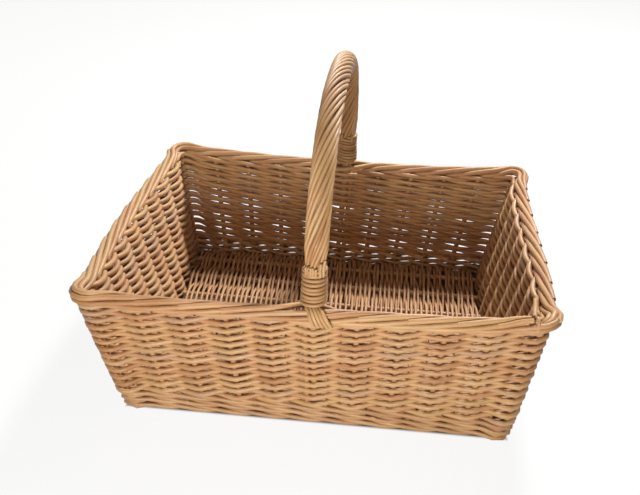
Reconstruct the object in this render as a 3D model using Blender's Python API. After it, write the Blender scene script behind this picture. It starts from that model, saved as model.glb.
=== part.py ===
# Wicker shopping basket in buff willow, with a fixed bow handle.
# Metres, +Z up. The front is -Y. The origin lies on the ground under the middle.
#
# Thirty-eight stakes stand in a bottom wale, run up through the side weave and are bent
# down one over the other into the rod border. The base is woven round seven sticks whose
# ends sit in the wale. A bow is pushed down both long sides, wound with bands of rods and
# bound at each foot with a lapping and a tie over the border.
import math

import bmesh
import bpy
from mathutils import Matrix, Vector

# Overall sizes
RIM_LENGTH = 0.480           # outside of the border, left to right
RIM_WIDTH = 0.380            # outside of the border, front to back
BASE_LENGTH = 0.413          # outside of the bottom wale, left to right
BASE_WIDTH = 0.345           # outside of the bottom wale, front to back
BORDER_TOP = 0.153           # top of the border in the middle of a side
CORNER_LIFT = 0.0085         # how much higher the border stands at its corners
FRONT_RIGHT_LIFT = 0.0065    # and how much more at the front right
LIFT_POWER = 2.5             # higher keeps the climb nearer to the corners
RIM_SKEW = 0.012             # how far the back of the rim stands to the right of the front
CORNER_RADIUS = 0.006        # of the line that the stakes stand on
CORNER_PUSH = 0.005          # how far that line is drawn out at its corners
CORNER_REACH = 0.026         # and over what length to either side
LEFT_BOW = 0.0080            # how far the left side of the rim is bowed outwards
RIGHT_BOW = 0.012            # the same for the right side, before it is drawn to the front
FRONT_DRAW = 2               # higher draws the right side's bow nearer to the front
HANDLE_TOP = 0.345           # top of the wound handle

# Stakes and border
LONG_SPACES = 10             # spaces between stakes on a long side, from corner to corner
SHORT_SPACES = 9
STAKE_D = 0.0060             # a stake, and the border rod that it is bent into
STAKE_TIP_D = 0.0048         # its cut end
STAKE_FOOT_Z = 0.0018        # from the ground up to a stake's foot
STRANDS = 5                  # rods that lie side by side in the border
STRAND_GAP = 0.0010          # least air between two border rods
BORDER_OUT = 0.006           # the border's middle lies this far outside the stakes' line
STAKE_BEND = 0.0064          # radius at which a stake turns into the border

# Weaves and base
WEAVER_D = 0.0046            # rods of the side weave
WALE_D = 0.0046              # rods of the bottom wale
WALE_ROWS = 3
WALE_ROW = 0.0080            # height that a row of the wale takes
WALE_BELLY = 0.0011          # how far the wale bulges between its foot and its top
BASE_ROD_D = 0.0034          # rods of the base weave
BASE_RIBS = 28               # ridges of the base weave, of two rods each
BASE_GROOVE = 0.0010         # depth between two of them
STICK_D = 0.0066
STICKS = 7
STICK_EDGE = 0.0216          # from the outermost stick to the edge of the base weave
STICK_SEAT = 0.0025          # how deep a stick's end sits in the wale
BASE_CLEAR = 0.0016          # from the ground up to the base weave

# Handle
BOW_D = 0.0142               # bow at the grip
BOW_FOOT_D = 0.0092          # bow where it passes the border
BOW_TIP_D = 0.0062           # cut end of the bow in the side weave
BOW_TIP_Z = 0.030
HANDLE_D = 0.0240            # over the wound rods
ARCH_POWER = 2.5             # 2 is an ellipse, higher is squarer
BANDS = 4                    # bands of rods wound round the bow
BAND_RODS = 3                # rods side by side in a band
BAND_GROOVE = 0.0017         # depth between two rods of a band
WIND_TURNS = 3.4
GRIP_TAPER = 0.020           # length in which the winding is drawn in under a lapping
LAPPING_D = 0.0280
LAPPING_ROD_D = 0.0040
LAPPING_TURNS = 8
LAPPING_PITCH = 0.0048
TIE_ROD_D = 0.0034
TIE_RODS = 5
TIE_GROOVE = 0.0012          # depth between two rods of a tie
TIE_FROM = math.radians(101)            # where round the border a tie starts, from outwards
TIE_TO = math.radians(-42)
TIE_SLANT = 0.017            # how far a tie slides to the right on its way down

BEND_SHARE = 0.3             # how far into its bend a stake has its middle point

# Clearances
FIT = 0.0003                 # between pieces that touch
PASS = 0.0008                # between rods that pass each other
BAND_GAP = 0.0009

# Stations count stakes clockwise, seen from above, from the middle of the front.
STAKES = 2 * (LONG_SPACES + SHORT_SPACES)
BACK = STAKES / 2
CORNERS = (LONG_SPACES / 2, LONG_SPACES / 2 + SHORT_SPACES,
           STAKES - LONG_SPACES / 2 - SHORT_SPACES, STAKES - LONG_SPACES / 2)
LEAST_STEP = 0.05            # stations closer than this are left out

# What follows from them
STRAND_STEP = math.radians(320) / STRANDS
BORDER_R = (STAKE_D + STRAND_GAP) / (2 * math.sin(STRAND_STEP / 2))
BORDER_HALF = BORDER_R + STAKE_D / 2
BORDER_TRAVEL = STRANDS - 0.5
START_ANGLE = math.pi + math.acos(min(1.0, BORDER_OUT / BORDER_R))
LATE_DIP = math.radians(20)               # a centre stake enters the border lower down
RIM_X = RIM_LENGTH / 2 - BORDER_OUT - BORDER_HALF
RIM_Y = RIM_WIDTH / 2 - BORDER_OUT - BORDER_HALF
WALE_HALF = STAKE_D / 2 + WALE_D
WEAVE_HALF = STAKE_D / 2 + WEAVER_D
BASE_X = BASE_LENGTH / 2 - WALE_HALF
BASE_Y = BASE_WIDTH / 2 - WALE_HALF
WALE_TOP = WALE_ROWS * WALE_ROW
STICK_Z = BASE_CLEAR + BASE_ROD_D + STICK_D / 2
STAKE_BORE_R = (STAKE_D / 2 + FIT) / math.cos(math.pi / 6)
BOW_NEED = BOW_FOOT_D / 2 + STAKE_D / 2 + PASS
TIE_CLEAR = BORDER_HALF + FIT + TIE_ROD_D / 2
TURN = CORNER_RADIUS * math.pi / 2


def corner_places(half_x, half_y):
    """How far round the outline its start, its four corners and its end lie."""
    front = half_x - CORNER_RADIUS + TURN / 2
    side = 2 * (half_y - CORNER_RADIUS) + TURN
    return (0.0, front, front + side, 3 * front + side, 3 * front + 2 * side, 4 * front + 2 * side)


RIM_PLACES = corner_places(RIM_X, RIM_Y)
LONG_SPACING = 2 * RIM_PLACES[1] / LONG_SPACES
SHORT_SPACING = (RIM_PLACES[2] - RIM_PLACES[1]) / SHORT_SPACES
SIDE_STEP = BOW_NEED / LONG_SPACING       # a centre stake stands beside its bow


def spacing_at(station):
    """Distance between the stakes of the side that a station lies on."""
    station = station % STAKES
    on_side = CORNERS[0] <= station < CORNERS[1] or CORNERS[2] <= station < CORNERS[3]
    return SHORT_SPACING if on_side else LONG_SPACING


def distance_round(places, station):
    """How far round an outline a station lies, so that the corner stations lie at its corners."""
    marks = (0.0,) + CORNERS + (STAKES,)
    station = station % STAKES
    k = max(j for j in range(5) if marks[j] <= station)
    share = (station - marks[k]) / (marks[k + 1] - marks[k])
    return places[k] + (places[k + 1] - places[k]) * share


def outline(half_x, half_y, station):
    """Point and outward normal on a rectangle whose rounded corners are drawn out a little."""
    run_x = half_x - CORNER_RADIUS
    run_y = half_y - CORNER_RADIUS
    places = corner_places(half_x, half_y)
    along = distance_round(places, station)
    nearest = min(abs(along - place) for place in places[1:5])
    push = CORNER_PUSH * math.cos(math.pi / 2 * min(1.0, nearest / CORNER_REACH)) ** 2
    runs = (run_x, 2 * run_y, 2 * run_x, 2 * run_y, run_x)
    starts = ((0, -half_y), (-half_x, -run_y), (-run_x, half_y), (half_x, run_y), (run_x, -half_y))
    heading = math.pi
    for run, start in zip(runs, starts):
        direction = Vector((math.cos(heading), math.sin(heading)))
        outward = Vector((-direction.y, direction.x))
        if along <= run:
            return Vector(start) + direction * along + outward * push, outward
        along -= run
        if along <= TURN:
            bend = along / CORNER_RADIUS
            centre = Vector(start) + direction * run - outward * CORNER_RADIUS
            normal = outward * math.cos(bend) + direction * math.sin(bend)
            return centre + normal * (CORNER_RADIUS + push), normal
        along -= TURN
        heading -= math.pi / 2
    return Vector((0, -half_y)), Vector((0, -1))


def rim_outline(station):
    """The same at the rim, where both short sides are bowed outwards."""
    point, normal = outline(RIM_X, RIM_Y, station)
    depth = max(-1.0, min(1.0, point.y / RIM_Y))
    if point.x < 0:
        return point - Vector((LEFT_BOW * (1 - depth ** 2), 0)), normal
    return point + Vector((RIGHT_BOW * (1 - depth ** 2) * ((1 - depth) / 2) ** FRONT_DRAW, 0)), normal


def skewed(x, y, z):
    share = min(z / BORDER_TOP, 1.0)
    return Vector((x + RIM_SKEW * share * y / RIM_WIDTH, y, z))


def border_height(station):
    """Height of the border's middle, which climbs towards the corners."""
    point, _ = rim_outline(station)
    nearness = min(1.0, abs(point.x / RIM_X)) * min(1.0, abs(point.y / RIM_Y))
    lift = CORNER_LIFT + (FRONT_RIGHT_LIFT if point.x > 0 > point.y else 0.0)
    return BORDER_TOP - BORDER_HALF + lift * nearness ** LIFT_POWER


def wall_point(station, z, out):
    """A point of the wall at a height, so far outside the stakes' line."""
    low, low_normal = outline(BASE_X, BASE_Y, station)
    high, high_normal = rim_outline(station)
    share = z / border_height(station)
    plan = low.lerp(high, share)
    normal = low_normal.lerp(high_normal, share).normalized()
    plan = plan + normal * out
    return skewed(plan.x, plan.y, z)


def rim_point(station, out, up):
    """A point of the border, from its own line: outwards from the stakes, up from its middle."""
    plan, normal = rim_outline(station)
    plan = plan + normal * out
    return skewed(plan.x, plan.y, border_height(station) + up)


def corner_stations(shares):
    """Stations in the four rounded corners, by their share of the turn from its middle."""
    found = []
    for corner in CORNERS:
        for share in shares:
            step = LEAST_STEP / 2 if share > 0 else -LEAST_STEP / 2
            found.append(corner + share * TURN / spacing_at(corner + step))
    return found


# Materials and collections
def willow(name, red, green, blue, roughness=0.6):
    material = bpy.data.materials.new(name)
    material.use_nodes = True
    shader = material.node_tree.nodes["Principled BSDF"]
    shader.inputs["Base Color"].default_value = (red, green, blue, 1.0)
    shader.inputs["Roughness"].default_value = roughness
    shader.inputs["Metallic"].default_value = 0.0
    return material


def new_collection(name):
    collection = bpy.data.collections.new(name)
    bpy.context.scene.collection.children.link(collection)
    return collection


def add_object(name, data, collection, material=None):
    item = bpy.data.objects.new(name, data)
    collection.objects.link(item)
    if material is not None:
        data.materials.append(material)
    return item


# Shapes
def rod(name, points, radii, collection, material, sides=6):
    """A round rod along points, as a bevelled poly curve with filled ends."""
    curve = bpy.data.curves.new(name, "CURVE")
    curve.dimensions = "3D"
    curve.bevel_depth = 1.0
    curve.bevel_resolution = (sides - 4) // 2
    curve.use_fill_caps = True
    spline = curve.splines.new("POLY")
    spline.points.add(len(points) - 1)
    for place, point, radius in zip(spline.points, points, radii):
        place.co = (point.x, point.y, point.z, 1.0)
        place.radius = radius
    return add_object(name, curve, collection, material)


def loft(name, rings, collection, material, ring_closed=False):
    """Skin between like rings of points; capped at its ends unless it runs round."""
    mesh = bpy.data.meshes.new(name)
    form = bmesh.new()
    rows = [[form.verts.new(point) for point in ring] for ring in rings]
    pairs = list(zip(rows, rows[1:]))
    if ring_closed:
        pairs.append((rows[-1], rows[0]))
    for first, second in pairs:
        count = len(first)
        for k in range(count):
            after = (k + 1) % count
            form.faces.new((first[k], first[after], second[after], second[k]))
    if not ring_closed:
        form.faces.new(rows[0])
        form.faces.new(rows[-1])
    bmesh.ops.recalc_face_normals(form, faces=form.faces)
    form.to_mesh(mesh)
    form.free()
    return add_object(name, mesh, collection, material)


def cut(item, cutter):
    modifier = item.modifiers.new("cut_" + cutter.name, "BOOLEAN")
    modifier.operation = "DIFFERENCE"
    modifier.solver = "EXACT"
    modifier.object = cutter


def as_cutter(item):
    item.hide_render = True
    item.display_type = "WIRE"
    return item


def curve_to_mesh(item, collection):
    """The welded mesh of a curve object, in its place."""
    graph = bpy.context.evaluated_depsgraph_get()
    mesh = bpy.data.meshes.new_from_object(item.evaluated_get(graph))
    form = bmesh.new()
    form.from_mesh(mesh)
    bmesh.ops.remove_doubles(form, verts=form.verts, dist=0.00001)
    form.to_mesh(mesh)
    form.free()
    name = item.name
    matrix = item.matrix_world.copy()
    bpy.data.objects.remove(item)
    solid = add_object(name, mesh, collection)
    solid.matrix_world = matrix
    return solid


# Handle line
ARCH_FOOT_Z = BORDER_TOP - BORDER_HALF
ARCH_RISE = HANDLE_TOP - HANDLE_D / 2 - ARCH_FOOT_Z
ARCH_STEPS = 240


def arch_point(angle):
    across = abs(math.cos(angle)) ** (2 / ARCH_POWER)
    rise = abs(math.sin(angle)) ** (2 / ARCH_POWER)
    y = -math.copysign(RIM_Y * across, math.cos(angle))
    return skewed(0.0, y, ARCH_FOOT_Z + ARCH_RISE * rise)


ARCH = [arch_point(math.pi * k / ARCH_STEPS) for k in range(ARCH_STEPS + 1)]
ARCH_RUN = [0.0]
for before, after in zip(ARCH, ARCH[1:]):
    ARCH_RUN.append(ARCH_RUN[-1] + (after - before).length)
ARCH_LENGTH = ARCH_RUN[-1]


def along_arch(distance):
    """Point and direction of the bow at a distance along it from the front border."""
    distance = min(max(distance, 0.0), ARCH_LENGTH)
    k = 0
    while ARCH_RUN[k + 1] < distance:
        k += 1
    share = (distance - ARCH_RUN[k]) / (ARCH_RUN[k + 1] - ARCH_RUN[k])
    point = ARCH[k].lerp(ARCH[k + 1], share)
    low = max(k - 2, 0)
    high = min(k + 3, ARCH_STEPS)
    return point, (ARCH[high] - ARCH[low]).normalized()


LAPPING_START = BORDER_HALF + PASS + TIE_ROD_D + 2 * FIT + LAPPING_ROD_D / 2
LAPPING_LENGTH = LAPPING_TURNS * LAPPING_PITCH
GRIP_START = LAPPING_START + LAPPING_LENGTH + GRIP_TAPER
LAPPING_INNER = LAPPING_D / 2 - LAPPING_ROD_D - 2 * FIT


def wound_radius(distance):
    """Outside of the wound bands, drawn in under the lappings."""
    near = min(distance, ARCH_LENGTH - distance)
    share = min(max((near - LAPPING_START - LAPPING_LENGTH) / GRIP_TAPER, 0.0), 1.0)
    return LAPPING_INNER + (HANDLE_D / 2 - LAPPING_INNER) * share


def bow_radius(distance):
    """The bow, thinned towards its feet."""
    near = min(distance, ARCH_LENGTH - distance)
    under = wound_radius(distance) - BAND_ROD
    if near < LAPPING_START:
        return BOW_FOOT_D / 2 + (under - BOW_FOOT_D / 2) * max(0.0, near / LAPPING_START)
    return under


BAND_ROD = HANDLE_D / 2 - BOW_D / 2


# Pieces
def build_stakes(basket):
    material = willow("peeled willow stake", 0.60, 0.38, 0.18)
    bow_bend = STAKE_BEND / LONG_SPACING
    slope = START_ANGLE - STRAND_STEP * (1 - bow_bend)
    inner_push = BOW_NEED + PASS + BORDER_OUT + BORDER_R * math.cos(slope)
    low_up = BORDER_R * math.sin(START_ANGLE)
    corners = corner_stations((-0.5, -0.17, 0.17, 0.5))

    def border_angle(run, lag, bend):
        """Where round the border the rod lies, after so many spaces from its stake."""
        if run < 1.0 and lag > 0:
            late = lag + bend
            share = max(0.0, run - late) / (1 - late)
            return START_ANGLE + LATE_DIP * (1 - share) - STRAND_STEP * (1 - bend) * share
        return START_ANGLE - STRAND_STEP * max(0.0, run - bend)

    for index in range(STAKES):
        lag = SIDE_STEP if index in (0, BACK) else 0.0
        start = index + lag
        bend = STAKE_BEND / spacing_at(start)
        waist = border_height(start) + low_up - STAKE_BEND
        points = [wall_point(start, STAKE_FOOT_Z, 0.0), wall_point(start, waist, 0.0)]
        points.append(rim_point(start + bend * BEND_SHARE, 0.0, low_up - STAKE_BEND * BEND_SHARE))

        first = lag + bend
        stations = [first] + [k / 2 for k in range(1, 2 * STRANDS) if k / 2 > first + 4 * LEAST_STEP]
        for corner in corners:
            run = (corner - index) % STAKES
            if first < run < BORDER_TRAVEL:
                stations.append(run)
        if lag > 0:
            stations.append((1 + first) / 2)
        stations.sort()
        kept = [stations[0]]
        for run in stations[1:]:
            if run - kept[-1] > LEAST_STEP:
                kept.append(run)
        for run in kept:
            angle = border_angle(run, lag, bend)
            out = BORDER_OUT + BORDER_R * math.cos(angle)
            for bow in (0, BACK, STAKES):
                passed = bow - index
                if 1 <= passed <= STRANDS - 1:
                    weight = math.cos(math.pi / 2 * min(1.0, abs(run - passed))) ** 2
                    out += weight * (-inner_push if passed == 1 else outer_push())
            points.append(rim_point(index + run, out, BORDER_R * math.sin(angle)))
        radii = [STAKE_D / 2] * (len(points) - 1) + [STAKE_TIP_D / 2]
        rod("stake_%02d" % (index + 1), points, radii, basket, material)


def outer_push():
    """How far the border is drawn outwards where it passes a bow."""
    angle = START_ANGLE - STRAND_STEP * (2 - STAKE_BEND / LONG_SPACING)
    return max(0.0, BOW_NEED + PASS - BORDER_OUT - BORDER_R * math.cos(angle))


def build_stake_cutter(cutters):
    """Bores for all the stakes, from above the ground to past the side weave."""
    mesh = bpy.data.meshes.new("stake_bores")
    form = bmesh.new()
    for index in range(STAKES):
        station = index + (SIDE_STEP if index in (0, BACK) else 0.0)
        foot = wall_point(station, STAKE_FOOT_Z - FIT, 0.0)
        head = wall_point(station, border_height(station), 0.0)
        axis = head - foot
        turn = axis.to_track_quat("Z", "Y").to_matrix().to_4x4()
        place = Matrix.Translation((foot + head) / 2) @ turn
        bmesh.ops.create_cone(form, cap_ends=True, segments=6, radius1=STAKE_BORE_R,
                              radius2=STAKE_BORE_R, depth=axis.length, matrix=place)
    form.to_mesh(mesh)
    form.free()
    return as_cutter(add_object("stake_bores", mesh, cutters))


def members():
    """Stations of everything that the side weave bulges round: bows and stakes."""
    stakes = [index for index in range(STAKES) if index not in (0, BACK)]
    return [0.0, BACK, SIDE_STEP, BACK + SIDE_STEP] + stakes


def weave_half(station, peak, valley):
    """Half thickness of a weave: full at a stake, less half way to the next."""
    nearest = min(abs((station - member + BACK) % STAKES - BACK) for member in members())
    share = max(0.0, math.cos(math.pi * min(0.5, nearest)))
    return valley + (peak - valley) * share


def wall_stations():
    found = members() + [index + 0.5 for index in range(STAKES)]
    found += corner_stations((-0.5, -0.25, 0.25, 0.5))
    found.sort()
    kept = [found[0]]
    for station in found[1:]:
        if station - kept[-1] > LEAST_STEP:
            kept.append(station)
    return kept


def inside(station, half):
    """Inner half thickness, less where a sharp corner leaves no room for it."""
    places = RIM_PLACES[1:5]
    along = distance_round(RIM_PLACES, station)
    if min(abs(along - place) for place in places) > TURN:
        return -half
    return -min(half, CORNER_RADIUS + CORNER_PUSH - PASS)


def build_walls(basket, stake_bores, bow_bores):
    rings = []
    for station in wall_stations():
        half = weave_half(station, WALE_HALF, WALE_D + PASS)
        within = inside(station, half)
        rings.append([wall_point(station, 0.0, half - WALE_BELLY),
                      wall_point(station, WALE_TOP / 2, half + WALE_BELLY),
                      wall_point(station, WALE_TOP, half), wall_point(station, WALE_TOP, within),
                      wall_point(station, 0.0, within)])
    wale = loft("bottom_wale", rings, basket, willow("peeled willow wale", 0.52, 0.31, 0.14),
                ring_closed=True)

    rings = []
    for station in wall_stations():
        half = weave_half(station, WEAVE_HALF, WEAVER_D / 2 + FIT)
        within = inside(station, half)
        low = WALE_TOP + FIT
        high = border_height(station) - BORDER_HALF - FIT
        rings.append([wall_point(station, low, half), wall_point(station, high, half),
                      wall_point(station, high, within), wall_point(station, low, within)])
    weave = loft("side_weave", rings, basket, willow("peeled willow weaver", 0.63, 0.39, 0.20),
                 ring_closed=True)
    for item in (wale, weave):
        cut(item, stake_bores)
    cut(weave, bow_bores)
    return wale


def build_base(basket, cutters, wale):
    """Sticks from end to end, and the weave that swells over each and thins between them."""
    reach = BASE_X - WALE_HALF + STICK_SEAT
    half_x = BASE_X - WALE_HALF - FIT
    half_y = BASE_Y - WALE_HALF - FIT
    spacing = 2 * (half_y - STICK_EDGE) / (STICKS - 1)
    stick_material = willow("base stick", 0.46, 0.27, 0.12)
    bore_mesh = bpy.data.meshes.new("stick_bores")
    form = bmesh.new()
    for index in range(STICKS):
        y = (index - (STICKS - 1) / 2) * spacing
        mesh = bpy.data.meshes.new("base_stick")
        stick = bmesh.new()
        lie = Matrix.Rotation(math.pi / 2, 4, "Y")
        bmesh.ops.create_cone(stick, cap_ends=True, segments=8, radius1=STICK_D / 2,
                              radius2=STICK_D / 2, depth=2 * reach, matrix=lie)
        stick.to_mesh(mesh)
        stick.free()
        item = add_object("base_stick_%d" % (index + 1), mesh, basket, stick_material)
        item.location = (0.0, y, STICK_Z)
        place = Matrix.Translation((0.0, y, STICK_Z)) @ lie
        bore = (STICK_D / 2 + FIT) / math.cos(math.pi / 8)
        bmesh.ops.create_cone(form, cap_ends=True, segments=8, radius1=bore, radius2=bore,
                              depth=2 * (reach + FIT), matrix=place)
    form.to_mesh(bore_mesh)
    form.free()
    bores = as_cutter(add_object("stick_bores", bore_mesh, cutters))

    pitch = 2 * half_x / BASE_RIBS
    thick = STICK_D / 2 + BASE_ROD_D
    thin = BASE_ROD_D / 2 + PASS
    marks = [(-half_y, thin)]
    for index in range(2 * STICKS - 1):
        marks.append(((index - STICKS + 1) * spacing / 2, thin if index % 2 else thick))
    marks.append((half_y, thin))
    rings = []
    for y, half in marks:
        ring = []
        for rib in range(BASE_RIBS):
            left = -half_x + rib * pitch
            ring.append(Vector((left, y, STICK_Z + half - BASE_GROOVE)))
            ring.append(Vector((left + pitch / 2, y, STICK_Z + half)))
        ring.append(Vector((half_x, y, STICK_Z + half - BASE_GROOVE)))
        ring += [Vector((half_x, y, STICK_Z - half)), Vector((-half_x, y, STICK_Z - half))]
        rings.append(ring)
    weave = loft("base_weave", rings, basket, willow("peeled willow base weave", 0.50, 0.29, 0.14))
    cut(weave, bores)
    cut(wale, bores)


def build_bow(basket, cutters):
    """One bent rod from side to side, its thinned ends down inside the side weave."""
    inner = []
    for z in (BOW_TIP_Z, (BOW_TIP_Z + ARCH_FOOT_Z) / 2):
        share = (z - BOW_TIP_Z) / (ARCH_FOOT_Z - BOW_TIP_Z)
        inner.append((z, BOW_TIP_D / 2 + (BOW_FOOT_D - BOW_TIP_D) / 2 * share))
    points = [wall_point(0.0, z, 0.0) for z, _ in inner]
    radii = [radius for _, radius in inner]
    marks = [0.0, LAPPING_START, LAPPING_START + LAPPING_LENGTH, GRIP_START]
    steps = 16
    run = ARCH_LENGTH - 2 * GRIP_START
    grip = [GRIP_START + run * k / steps for k in range(1, steps)]
    marks += grip + [ARCH_LENGTH - mark for mark in marks[::-1]]
    for mark in marks:
        points.append(along_arch(mark)[0])
        radii.append(bow_radius(mark))
    points += [wall_point(BACK, z, 0.0) for z, _ in inner[::-1]]
    radii += [radius for _, radius in inner[::-1]]
    rod("handle_bow", points, radii, basket, willow("handle bow", 0.50, 0.30, 0.14), sides=8)

    bores = []
    for station in (0.0, BACK):
        places = [wall_point(station, z, 0.0) for z in (BOW_TIP_Z - FIT, ARCH_FOOT_Z)]
        sizes = [(BOW_TIP_D / 2 + FIT) / math.cos(math.pi / 8),
                 (BOW_FOOT_D / 2 + FIT) / math.cos(math.pi / 8)]
        bores.append(rod("bow_bore", places, sizes, cutters, None, sides=8))
    solids = [curve_to_mesh(bore, cutters) for bore in bores]
    form = bmesh.new()
    for solid in solids:
        form.from_mesh(solid.data)
        bpy.data.objects.remove(solid)
    mesh = bpy.data.meshes.new("bow_bores")
    form.to_mesh(mesh)
    form.free()
    return as_cutter(add_object("bow_bores", mesh, cutters))


def across_bow(direction):
    """The two directions across the bow: away from the arch's middle, and to the right."""
    side = Vector((1.0, 0.0, 0.0))
    away = side.cross(direction).normalized() * -1
    return away, direction.cross(away).normalized()


def build_bands(basket):
    """Bands of rods lying side by side, wound together round the bow."""
    material = willow("handle winding rods", 0.69, 0.46, 0.23)
    first = LAPPING_START - LAPPING_ROD_D / 2
    length = ARCH_LENGTH - 2 * first
    stations = 36
    for band in range(BANDS):
        rings = []
        for k in range(stations + 1):
            distance = first + length * k / stations
            point, direction = along_arch(distance)
            away, side = across_bow(direction)
            outer = wound_radius(distance)
            facet = math.cos(math.pi * WIND_TURNS / stations) * math.cos(math.pi / BANDS / 3)
            inner = (bow_radius(distance) + FIT) / facet
            turn = 2 * math.pi * (WIND_TURNS * k / stations + band / BANDS)
            gap = BAND_GAP / inner
            spread = 2 * math.pi / BANDS - gap
            valley = outer - min(BAND_GROOVE, (outer - inner) / 2)
            ring = []
            for j in range(2 * BAND_RODS + 1):
                radius = outer if j % 2 else valley
                angle = turn + spread * j / (2 * BAND_RODS)
                ring.append((radius, angle))
            for j in (3, 2, 1, 0):
                ring.append((inner, turn + spread * j / 3))
            rings.append([point + (away * math.cos(a) + side * math.sin(a)) * r for r, a in ring])
        loft("handle_band_%d" % (band + 1), rings, basket, material)


def build_lappings(basket):
    """A rod coiled round each foot of the handle."""
    material = willow("lapping rod", 0.66, 0.42, 0.21)
    points_per_turn = 14
    coil_r = LAPPING_D / 2 - LAPPING_ROD_D / 2
    for name, mirrored in (("front_lapping", False), ("back_lapping", True)):
        points = []
        count = LAPPING_TURNS * points_per_turn
        for k in range(count + 1):
            distance = LAPPING_START + LAPPING_LENGTH * k / count
            place, direction = along_arch(ARCH_LENGTH - distance if mirrored else distance)
            away, side = across_bow(direction)
            angle = 2 * math.pi * k / points_per_turn
            points.append(place + (away * math.cos(angle) + side * math.sin(angle)) * coil_r)
        for end, inside in ((0, 1), (-1, -2)):
            tail = (points[end] - points[inside]).normalized() * LAPPING_ROD_D
            points.insert(0 if end == 0 else len(points), points[end] + tail)
        spare = min((points[k] - points[k + points_per_turn]).length
                    for k in range(len(points) - points_per_turn)) - LAPPING_ROD_D
        print(name, "least gap between turns, mm:", round(spare * 1000, 2))
        rod(name, points, [LAPPING_ROD_D / 2] * len(points), basket, material)


def build_ties(basket):
    """Rods side by side that bind each foot of the handle over the border."""
    material = willow("tie rods", 0.69, 0.46, 0.23)
    width = TIE_RODS * TIE_ROD_D
    steps = 7
    for name, middle in (("front_tie", 0.0), ("back_tie", BACK)):
        rings = []
        for k in range(steps + 1):
            share = k / steps
            angle = TIE_FROM + (TIE_TO - TIE_FROM) * share
            slid = -TIE_SLANT * share
            ring = []
            for j in range(2 * TIE_RODS + 1):
                rise = TIE_ROD_D / 2 - (0.0 if j % 2 else TIE_GROOVE)
                ring.append((width * (j / (2 * TIE_RODS) - 0.5), rise))
            ring += [(width / 2, -TIE_ROD_D / 2), (-width / 2, -TIE_ROD_D / 2)]
            corners = []
            for along, rise in ring:
                radius = TIE_CLEAR + rise
                corners.append(rim_point(middle + (slid + along) / LONG_SPACING,
                                         BORDER_OUT + outer_push() + radius * math.cos(angle),
                                         radius * math.sin(angle)))
            rings.append(corners)
        loft(name, rings, basket, material)


def main():
    for item in list(bpy.data.objects):
        bpy.data.objects.remove(item)
    basket = new_collection("wicker_shopping_basket")
    cutters = new_collection("cutters")
    build_stakes(basket)
    stake_bores = build_stake_cutter(cutters)
    bow_bores = build_bow(basket, cutters)
    wale = build_walls(basket, stake_bores, bow_bores)
    build_base(basket, cutters, wale)
    build_bands(basket)
    build_lappings(basket)
    build_ties(basket)


main()
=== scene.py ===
# Wicker shopping basket in buff willow: the woven rods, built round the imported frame.
# Metres, +Z up. The front is -Y. The origin lies on the ground under the middle.
import math

import bpy
import numpy as np
from mathutils import Matrix, Vector


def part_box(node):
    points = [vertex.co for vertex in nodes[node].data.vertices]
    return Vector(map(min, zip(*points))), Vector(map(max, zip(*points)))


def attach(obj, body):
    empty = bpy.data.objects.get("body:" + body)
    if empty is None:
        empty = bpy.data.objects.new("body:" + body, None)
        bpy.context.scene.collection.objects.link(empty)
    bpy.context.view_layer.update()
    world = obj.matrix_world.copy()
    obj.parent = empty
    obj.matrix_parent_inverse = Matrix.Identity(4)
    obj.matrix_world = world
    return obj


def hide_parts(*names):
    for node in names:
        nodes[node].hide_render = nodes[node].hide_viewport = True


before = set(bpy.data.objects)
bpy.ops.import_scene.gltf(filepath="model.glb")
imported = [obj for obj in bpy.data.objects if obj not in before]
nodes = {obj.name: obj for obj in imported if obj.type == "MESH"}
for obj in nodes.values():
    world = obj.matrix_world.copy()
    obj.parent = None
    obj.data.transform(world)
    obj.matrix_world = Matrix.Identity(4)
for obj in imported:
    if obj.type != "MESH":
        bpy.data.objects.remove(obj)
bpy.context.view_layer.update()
mm = 0.001

# Sizes that the frame was built to. The rim stands skewed: its back lies to the right.
# Left and right, and all that follows, are as seen from the front.
form = {
    "rimLength": 0.480, "rimWidth": 0.380, "baseLength": 0.413, "baseWidth": 0.345,
    "borderTop": 0.153, "cornerLift": 8.5 * mm,
    "frontLifts": (-6.5 * mm, 6.5 * mm), "liftPower": 2.5,
    "rimSkew": 12 * mm, "cornerRadius": 6 * mm, "cornerPush": 5 * mm, "cornerReach": 26 * mm,
    "longSpaces": 10, "shortSpaces": 9, "stakeD": 6 * mm, "strands": 5, "strandGap": 1 * mm,
    "borderOut": 6 * mm, "stakeBend": 6.4 * mm, "wallInside": 7.6 * mm, "bowFootD": 9.2 * mm,
    "pass": 0.8 * mm, "handleTop": 0.345, "handleD": 24 * mm, "archPower": 2.5, "bowD": 14.2 * mm,
    "leftBow": 11 * mm, "leftDraw": 6 * mm, "rightBow": 12 * mm, "frontDraw": 2,
    "leftSwell": 3 * mm, "swellReach": 0.7, "swellRise": 0.35,
    "raised": 1.5 * mm, "frontTilt": 0.02, "frontPower": 4.0,
}
strandStep = math.radians(320) / form["strands"]
borderR = (form["stakeD"] + form["strandGap"]) / (2 * math.sin(strandStep / 2))
borderHalf = borderR + form["stakeD"] / 2
startAngle = math.pi + math.acos(min(1.0, form["borderOut"] / borderR))
rimX = form["rimLength"] / 2 - form["borderOut"] - borderHalf
rimY = form["rimWidth"] / 2 - form["borderOut"] - borderHalf
baseX = form["baseLength"] / 2 - form["wallInside"]
baseY = form["baseWidth"] / 2 - form["wallInside"]
turn = form["cornerRadius"] * math.pi / 2  # length of a corner's quarter circle

# Stations count stakes clockwise, seen from above, from the middle of the front
stakes = 2 * (form["longSpaces"] + form["shortSpaces"])
back = stakes // 2
corners = (form["longSpaces"] / 2, back - form["longSpaces"] / 2,
           back + form["longSpaces"] / 2, stakes - form["longSpaces"] / 2)


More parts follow.
